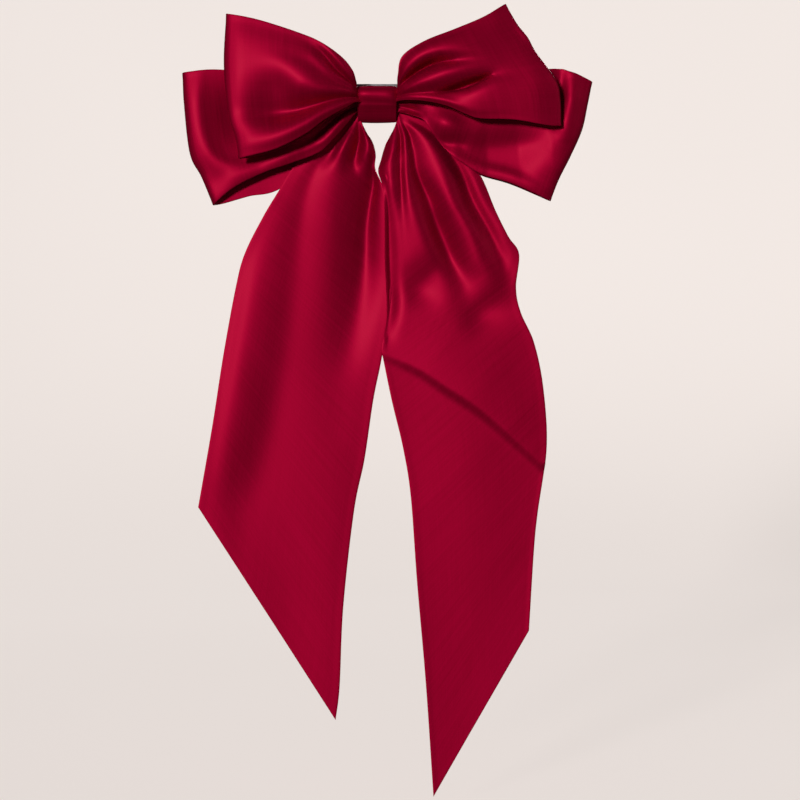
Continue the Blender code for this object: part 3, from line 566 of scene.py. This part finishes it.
def tail_rows(tail, folds, forward, seed):
    """Points of one tail: its outline from the front, its depth on the way down, and its folds on top."""
    outer_run = lengths(smooth_curve(tail["outer"]))[-1]
    inner_run = lengths(smooth_curve(tail["inner"]))[-1]
    count = int((outer_run + inner_run) / 2 / (STEP * 1.15))
    down = np.linspace(0, 1, count)
    inner = along(tail["inner"], down)
    outer = along(tail["outer"], down)
    v = np.linspace(0, 1, COLUMNS)
    xz = inner[:, None] * (1 - v)[None, :, None] + outer[:, None] * v[None, :, None]
    base = np.interp(down, *zip(*TAIL_DEPTH))
    crossing = forward * np.clip((down - 0.06) / 0.08, 0, 1) * np.clip((1 - down) / 0.4, 0, 1)
    down2, v2 = np.broadcast_arrays(down[:, None], v[None, :])
    y = TAIL_PLY / MM + base[:, None] - crossing[:, None] * (1 - v2)
    y = y + LEAN * np.clip(down2 * 3, 0, 1) * (0.5 - v2)
    settle = np.clip((down2 - 0.03) / 0.05, 0, 1)
    lift = folds(xz) * settle
    out = np.hypot(np.maximum(np.abs(xz[..., 0]) - HALF_BAND, 0), np.minimum(xz[..., 1] + 6, 0))
    lift = lift + pleats(out, v2, 4, 0.5, 8, seed=seed)
    y = y - lift
    return np.stack([xz[..., 0] * MM + KNOT.x, y * MM, xz[..., 1] * MM + KNOT.z], axis=-1)


def build_tails():
    """One long strip: up the left tail, through the knot and down the right tail."""
    left = tail_rows(TAIL_LEFT, tail_left_folds, 0.0, 41)
    right = tail_rows(TAIL_RIGHT, tail_right_folds, RIGHT_TAIL_FORWARD, 42)
    rows = np.vstack([left[::-1], right[1:]])
    uv, run = flat_map(rows)
    tails = grid_object("satin_tails", rows, uv, False, hem_weights(rows.shape[:2]))
    thicken(tails, SHEET)
    return tails, run


# ---- centre band -----------------------------------------------------------------------------------
BAND_PROFILE = [  # (depth, height) round the band's section, in millimetres from its middle
    (-6.8, 4.4), (-6.7, 3.2), (-6.1, 1.9), (-5.1, 0.4), (-4.3, -1.2), (-2.8, -2.9), (-1.1, -5.0),
    (0.8, -7.0),
    (3.4, -8.2), (5.6, -7.5), (6.6, -5.2), (6.75, 0), (6.6, 5.2), (5.2, 7.8), (2.4, 8.35), (-1.2, 8.4),
    (-3.7, 8.1), (-4.7, 7.6), (-4.8, 7.1), (-5.8, 6.5), (-6.6, 5.6)]
PROFILE_DEPTH, PROFILE_HEIGHT = 6.75, 8.4  # the profile's half depth and half height


def build_band():
    """The band wraps the knot: fullest above its middle, with one soft crease along its top."""
    around, wide = 170, 34
    profile = BAND_PROFILE[-1:] + BAND_PROFILE + BAND_PROFILE[:1]
    curve = smooth_curve(profile, 16)[16:-16]
    run = lengths(curve)
    ring = np.stack([np.interp(np.linspace(0, run[-1], around, endpoint=False), run, curve[:, i])
                     for i in (0, 1)], axis=1)
    size = ((BAND_HIGH - BAND_LOW) / 2 - Vector((0, 1, 1)) * BAND_WALL * 0.4) / MM
    ring = ring * (size.y / PROFILE_DEPTH, size.z / PROFILE_HEIGHT)
    across = np.linspace(-1, 1, wide)
    draw = 1 - 0.24 * np.abs(across) ** 5
    turn = np.linspace(0, 2 * math.pi, around, endpoint=False)
    wave = 0.16 * np.sin(across[None, :] * 2.3 + 2 * turn[:, None]) + 0.1 * np.sin(
        across[None, :] * 4.1 - 3 * turn[:, None] + 1)
    tilt = 0.5 * across * (ring[:, :1] < 0) * np.exp(-((ring[:, 1:] - 2) / 2.5) ** 2)
    y = ring[:, :1] * (draw - 0.03 * wave)
    z = ring[:, 1:] * (1 - 0.03 * across**2) + 0.25 * wave - tilt
    x = np.broadcast_to(across * HALF_BAND, y.shape)
    rows = np.stack([BAND_MIDDLE.x + x * MM, BAND_MIDDLE.y + y * MM, BAND_MIDDLE.z + z * MM], axis=-1)
    down = np.linspace(0, run[-1], around, endpoint=False) * MM
    uv = np.stack(np.broadcast_arrays((across * HALF_BAND * MM)[None, :], down[:, None]), axis=-1)
    band = grid_object("satin_band", rows, uv, True)
    thicken(band, BAND_WALL * 0.7)
    return band, float(run[-1]) * MM


def build_thread():
    """Sewing thread wound tight round the gathers, in crossing turns, under the band."""
    turns, steps = 7, 30
    deep, high = 3.4, 4.6  # half the winding's depth and height
    curve = bpy.data.curves.new("wound_thread", "CURVE")
    curve.dimensions = "3D"
    curve.bevel_depth = 0.2 * MM
    curve.bevel_resolution = 2
    curve.use_fill_caps = True
    line = curve.splines.new("NURBS")
    line.points.add(turns * steps)
    for i in range(turns * steps + 1):
        angle = 2 * math.pi * i / steps
        x = 1.5 * math.sin(angle / turns * 1.5 + 0.4) + 0.25 * math.sin(angle * 2.3)
        y = 0.4 + deep * math.cos(angle)
        z = 1.0 + high * math.sin(angle)
        line.points[i].co = (BAND_MIDDLE.x + x * MM, BAND_MIDDLE.y + y * MM, BAND_MIDDLE.z + z * MM, 1.0)
    line.use_endpoint_u = True
    drawn = bpy.data.objects.new("drawn_thread", curve)
    bpy.context.scene.collection.objects.link(drawn)
    graph = bpy.context.evaluated_depsgraph_get()
    mesh = bpy.data.meshes.new_from_object(drawn.evaluated_get(graph), depsgraph=graph)
    bpy.data.objects.remove(drawn)
    mesh.shade_smooth()
    thread = bpy.data.objects.new("wound_thread", mesh)
    bpy.context.scene.collection.objects.link(thread)
    return thread


# ---- materials -------------------------------------------------------------------------------------
def new_material(name):
    material = bpy.data.materials.new(name)
    material.use_nodes = True
    tree = material.node_tree
    return material, tree, tree.nodes["Principled BSDF"]


def add_node(tree, kind, **values):
    node = tree.nodes.new(kind)
    for key, value in values.items():
        if hasattr(node, key):
            setattr(node, key, value)
        else:
            node.inputs[key].default_value = value
    return node


def ramp(tree, source, stops):
    node = tree.nodes.new("ShaderNodeValToRGB")
    for element, (place, colour) in zip(node.color_ramp.elements, stops):
        element.position = place
        element.color = (*colour, 1.0)
    tree.links.new(source, node.inputs["Fac"])
    return node.outputs["Color"]


def grey_ramp(tree, source, low, high):
    """From one grey level at 0.3 to another at 0.7."""
    return ramp(tree, source, [(0.3, (low,) * 3), (0.7, (high,) * 3)])


def stretched(tree, vector, *scale):
    mapping = tree.nodes.new("ShaderNodeMapping")
    mapping.inputs["Scale"].default_value = scale
    tree.links.new(vector, mapping.inputs["Vector"])
    return mapping.outputs["Vector"]


def noise(tree, vector, scale, detail):
    node = add_node(tree, "ShaderNodeTexNoise", Scale=scale, Detail=detail)
    tree.links.new(vector, node.inputs["Vector"])
    return node.outputs["Fac"]


def bump(tree, shader, height, strength, distance):
    node = add_node(tree, "ShaderNodeBump", Strength=strength, Distance=distance)
    tree.links.new(height, node.inputs["Height"])
    tree.links.new(node.outputs["Normal"], shader.inputs["Normal"])


def maths(tree, operation, a, b):
    node = tree.nodes.new("ShaderNodeMath")
    node.operation = operation
    for i, value in enumerate((a, b)):
        if isinstance(value, (int, float)):
            node.inputs[i].default_value = value
        else:
            tree.links.new(value, node.inputs[i])
    return node.outputs[0]


def satin_material(name):
    """Wine red satin: fine crosswise yarns, long slubs, a soft broad gloss."""
    deep, bright = (0.29, 0.0001, 0.021), (0.37, 0.0002, 0.030)
    material, tree, shader = new_material(name)
    uv = add_node(tree, "ShaderNodeUVMap", uv_map="flat").outputs["UV"]
    slubs = noise(tree, stretched(tree, uv, 25, 900, 1), 1.0, 2.0)
    warp = noise(tree, stretched(tree, uv, 1400, 40, 1), 1.0, 2.0)
    cloudy = noise(tree, stretched(tree, uv, 22, 22, 1), 1.0, 3.0)
    mix = maths(tree, "ADD", maths(tree, "MULTIPLY", slubs, 0.45), maths(tree, "MULTIPLY", warp, 0.25))
    mix = maths(tree, "ADD", mix, maths(tree, "MULTIPLY", cloudy, 0.3))
    tree.links.new(ramp(tree, mix, [(0.36, deep), (0.64, bright)]), shader.inputs["Base Color"])
    tree.links.new(grey_ramp(tree, mix, 0.53, 0.61), shader.inputs["Roughness"])
    weave = add_node(tree, "ShaderNodeTexWave", wave_type="BANDS", bands_direction="Y", Scale=1.0,
                     Distortion=1.5)
    tree.links.new(stretched(tree, uv, 150, 520, 1), weave.inputs["Vector"])
    height = maths(tree, "ADD", maths(tree, "MULTIPLY", weave.outputs["Fac"], 0.5),
                   maths(tree, "MULTIPLY", slubs, 0.5))
    bump(tree, shader, height, 0.05, 0.0002)
    shader.inputs["Metallic"].default_value = 0.68
    shader.inputs["Specular IOR Level"].default_value = 0.03
    shader.inputs["Coat Weight"].default_value = 0.015
    shader.inputs["Coat Roughness"].default_value = 0.35
    return material


def steel_material(name, colour, edge, rough):
    """Brushed plated steel: fine lengthwise brushing under small darker, duller spots."""
    material, tree, shader = new_material(name)
    place = tree.nodes.new("ShaderNodeTexCoord").outputs["Object"]
    lines = noise(tree, stretched(tree, place, 60, 2500, 2500), 1.0, 3.0)
    spots = noise(tree, place, 420.0, 4.0)
    mix = maths(tree, "ADD", maths(tree, "MULTIPLY", lines, 0.5), maths(tree, "MULTIPLY", spots, 0.5))
    tree.links.new(ramp(tree, mix, [(0.35, edge), (0.6, colour)]), shader.inputs["Base Color"])
    tree.links.new(grey_ramp(tree, mix, rough + 0.14, rough - 0.05), shader.inputs["Roughness"])
    bump(tree, shader, mix, 0.12, 0.0001)
    shader.inputs["Metallic"].default_value = 1.0
    return material


def plain_material(name, low, high, scale, rough, bump_strength):
    """A mottled, matt material for glue and thread."""
    material, tree, shader = new_material(name)
    place = tree.nodes.new("ShaderNodeTexCoord").outputs["Object"]
    spots = noise(tree, place, scale, 4.0)
    tree.links.new(ramp(tree, spots, [(0.35, low), (0.65, high)]), shader.inputs["Base Color"])
    tree.links.new(grey_ramp(tree, spots, rough + 0.1, rough - 0.1), shader.inputs["Roughness"])
    bump(tree, shader, spots, bump_strength, 0.0002)
    return material


def dress(obj, material):
    obj.data.materials.clear()
    obj.data.materials.append(material)
    for face in obj.data.polygons:
        face.material_index = 0


# ---- stage, lights, camera -------------------------------------------------------------------------
FLOOR_Z = CAD_BOX[0].z - 12 * MM  # a little under the longer tail's tip


def build_stage():
    """A round pale sweep: flat floor, curved foot and wall, with the object in its middle."""
    radius, foot, wall_top = 1.75, 0.6, 2.6
    profile = [(0.0, 0.0), (0.6, 0.0), (radius - foot, 0.0)]
    for i in range(1, 13):
        a = math.pi / 2 * i / 12
        profile.append((radius - foot + foot * math.sin(a), foot - foot * math.cos(a)))
    profile.append((radius, wall_top))
    sides = 96
    points = []
    for r, z in profile[1:]:
        for i in range(sides):
            a = 2 * math.pi * i / sides
            points.append((r * math.cos(a), r * math.sin(a), FLOOR_Z + z))
    points.append((0.0, 0.0, FLOOR_Z))
    faces = []
    for ring in range(len(profile) - 2):
        for i in range(sides):
            j = (i + 1) % sides
            a, b = ring * sides, (ring + 1) * sides
            faces.append((a + i, b + i, b + j, a + j))
    for i in range(sides):
        faces.append((len(points) - 1, i, (i + 1) % sides))
    mesh = bpy.data.meshes.new("sweep")
    mesh.from_pydata(points, [], faces)
    mesh.shade_smooth()
    sweep = bpy.data.objects.new("sweep", mesh)
    bpy.context.scene.collection.objects.link(sweep)
    material, tree, shader = new_material("pale_paper")
    grain = add_node(tree, "ShaderNodeTexNoise", Scale=3.0, Detail=2.0)
    paper = ramp(tree, grain.outputs["Fac"], [(0.3, (0.295, 0.270, 0.257)), (0.7, (0.305, 0.280, 0.267))])
    tree.links.new(paper, shader.inputs["Base Color"])
    tree.links.new(paper, shader.inputs["Emission Color"])
    shader.inputs["Emission Strength"].default_value = 2.15
    shader.inputs["Roughness"].default_value = 0.9
    shader.inputs["Specular IOR Level"].default_value = 0.0
    mesh.materials.append(material)
    # The paper doesn't throw its own light back on the cloth, whose folds would go flat.
    sweep.visible_diffuse = False
    sweep.visible_glossy = False
    sweep.visible_shadow = False


def add_sun(name, azimuth, elevation, strength, softness, colour=(1, 1, 1)):
    """A distant soft lamp. Azimuth 0 is in front of the bow and 90 on its right."""
    data = bpy.data.lights.new(name, "SUN")
    data.energy = strength
    data.angle = math.radians(softness)
    data.color = colour
    lamp = bpy.data.objects.new(name, data)
    turn, rise = math.radians(azimuth), math.radians(elevation)
    way = Vector((math.sin(turn) * math.cos(rise), -math.cos(turn) * math.cos(rise), math.sin(rise)))
    lamp.rotation_euler = way.to_track_quat("Z", "Y").to_euler()
    bpy.context.scene.collection.objects.link(lamp)


def build_lights():
    add_sun("key", -22, 9, 2.2, 9, (1.0, 0.985, 0.97))
    add_sun("back", 165, 25, 1.7, 20)
    add_sun("side", 75, 20, 0.35, 30)
    world = bpy.data.worlds.new("studio")
    bpy.context.scene.world = world
    world.use_nodes = True
    world.node_tree.nodes["Background"].inputs["Color"].default_value = (1.0, 0.97, 0.95, 1.0)
    world.node_tree.nodes["Background"].inputs["Strength"].default_value = 0.09


def build_camera():
    """Looks straight at the front; the bow's middle sits a little left of and above the frame's middle."""
    picture_width = 0.368  # metres across the picture at the bow
    aim = KNOT + Vector((0.0106, -0.018, -0.1362))  # on the bow's front, at the picture's middle
    data = bpy.data.cameras.new("camera")
    data.sensor_width = 36.0
    data.lens = 90.0
    data.clip_end = 20.0
    camera = bpy.data.objects.new("camera", data)
    camera.location = aim - Vector((0.0, picture_width * data.lens / data.sensor_width, 0.0))
    camera.rotation_euler = (math.radians(90), 0.0, 0.0)
    bpy.context.scene.collection.objects.link(camera)
    bpy.context.scene.camera = camera


# ---- assembly --------------------------------------------------------------------------------------
bpy.context.scene.view_settings.view_transform = "Standard"
build_camera()
build_stage()
build_lights()

SATIN = satin_material("satin")
BAND_SATIN = satin_material("band_satin")

front_bow, front_length = build_bow("satin_front_bow", FRONT_SECTION, (FRONT_LEFT, front_left_folds, 51),
                                    (FRONT_RIGHT, front_right_folds, 52))
rear_bow, rear_length = build_bow("satin_rear_bow", REAR_SECTION, (REAR_LEFT, rear_left_folds, 53),
                                  (REAR_RIGHT, rear_right_folds, 54))
tails, tail_length = build_tails()
band, band_length = build_band()

for piece, node, cloth, slot in ((front_bow, "front_bow_ribbon", SATIN, "satin"),
                                 (rear_bow, "rear_bow_ribbon", SATIN, "satin"),
                                 (tails, "tail_ribbon", SATIN, "satin"),
                                 (band, "centre_band", BAND_SATIN, "band_satin")):
    dress(piece, cloth)
    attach(piece, "bow")
    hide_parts(node)

NICKEL = steel_material("dark_nickel", (0.20, 0.20, 0.21), (0.09, 0.09, 0.095), 0.34)
SPRING = steel_material("spring_steel", (0.62, 0.61, 0.60), (0.40, 0.40, 0.40), 0.26)
for node in ("barrette_base", "clasp_arm"):
    dress(NODES[node], NICKEL)
for node in ("hinge_pin", "spring_rivet", "latch_rivet", "latch_strap", "upper_latch_tab",
             "lower_latch_tab", "tension_spring"):
    dress(NODES[node], SPRING)
GLUE = plain_material("set_glue", (0.62, 0.57, 0.46), (0.80, 0.76, 0.66), 500, 0.4, 0.3)
dress(NODES["adhesive_pad"], GLUE)
thread = build_thread()
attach(thread, "bow")
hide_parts("binding_thread")
THREAD = plain_material("red_thread", (0.12, 0.003, 0.01), (0.22, 0.006, 0.02), 2500, 0.7, 0.6)
dress(thread, THREAD)
